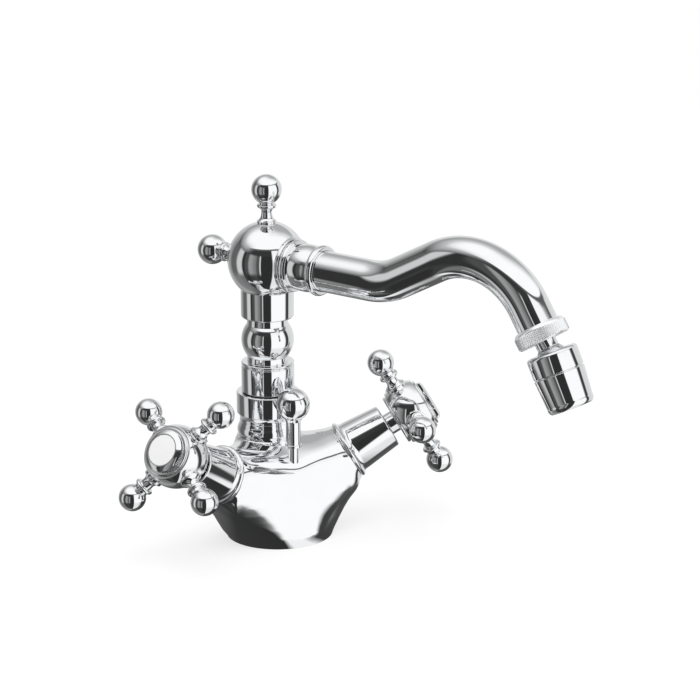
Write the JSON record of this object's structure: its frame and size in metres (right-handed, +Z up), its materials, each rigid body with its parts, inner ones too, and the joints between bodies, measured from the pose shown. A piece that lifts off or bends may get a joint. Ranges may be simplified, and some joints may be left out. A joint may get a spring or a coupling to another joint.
{
  "type": "bathroom mixer faucet",
  "caption": "Chrome single-hole mixer faucet with cross handles, a turned column, an S-shaped swivel spout, a ball-jointed swivel jet and a pop-up waste knob.",
  "frame": {"origin": "centre of the round foot on the deck, on the fixing stud's axis", "axes": "+Z up, front towards -Y, hot handle on the -X side"},
  "size_m": [0.1634, 0.1946, 0.1655],
  "materials": {
    "chrome": "polished chrome plate on brass",
    "index_disc": "satin chrome, bare",
    "brass": "machined brass",
    "steel": "stainless steel",
    "ceramic": "lapped alumina ceramic",
    "rubber": "nitrile rubber",
    "acetal": "white acetal"
  },
  "bodies": {
    "body": {"mixer_body": "chrome", "base_gasket": "rubber", "retaining_ring": "chrome", "column_bush": "acetal", "rod_guide": "acetal", "hot_bonnet": "chrome", "hot_valve_housing": "brass", "hot_seat_seal": "rubber", "hot_fixed_disc": "ceramic", "cold_bonnet": "chrome", "cold_valve_housing": "brass", "cold_seat_seal": "rubber", "cold_fixed_disc": "ceramic"},
    "spout": {"column": "chrome", "column_clip": "acetal", "column_o_rings": "rubber", "spout_head": "chrome", "top_finial": "chrome", "back_finial": "chrome", "spout_socket": "chrome", "spout_tube": "chrome", "aerator_nut": "chrome", "aerator_gasket": "rubber"},
    "hot_handle": {"hot_turning_disc": "ceramic", "hot_spindle": "brass", "hot_hub": "chrome", "hot_cross_arms": "chrome", "hot_cap": "chrome", "hot_index_disc": "index_disc", "hot_handle_screw": "steel"},
    "cold_handle": {"cold_turning_disc": "ceramic", "cold_spindle": "brass", "cold_hub": "chrome", "cold_cross_arms": "chrome", "cold_cap": "chrome", "cold_index_disc": "index_disc", "cold_handle_screw": "steel"},
    "jet_ball": {"aerator_ball": "chrome"},
    "jet": {"aerator_collar": "chrome", "aerator_sleeve": "chrome", "ball_seat": "acetal", "flow_insert": "acetal"},
    "popup": {"lift_knob": "chrome", "lift_rod": "chrome"}
  },
  "joints": [
    {"name": "spout_swivel", "type": "hinge", "parent": "body", "child": "spout", "pos_m": [0, 0.00964, 0], "axis": [0, 0, 1], "continuous": true},
    {"name": "hot_handle_turn", "type": "hinge", "parent": "body", "child": "hot_handle", "pos_m": [0, 0.00894, 0.01353], "axis": [-0.8074, -0.3132, 0.5], "range_deg": [0, 90]},
    {"name": "cold_handle_turn", "type": "hinge", "parent": "body", "child": "cold_handle", "pos_m": [0, 0.00894, 0.01353], "axis": [0.8074, -0.3132, 0.5], "range_deg": [0, 90]},
    {"name": "popup_lift", "type": "slide", "parent": "body", "child": "popup", "axis": [0, 0, 1], "range_m": [-0.003, 0.02]},
    {"name": "jet_turn", "type": "hinge", "parent": "spout", "child": "jet_ball", "pos_m": [0.05445, -0.12378, 0.12095], "axis": [0.2002, -0.4906, -0.848], "continuous": true},
    {"name": "jet_tilt", "type": "hinge", "parent": "jet_ball", "child": "jet", "pos_m": [0.05773, -0.13183, 0.10704], "axis": [-0.9259, -0.3778, 0], "range_deg": [-9, 21]}
  ]
}
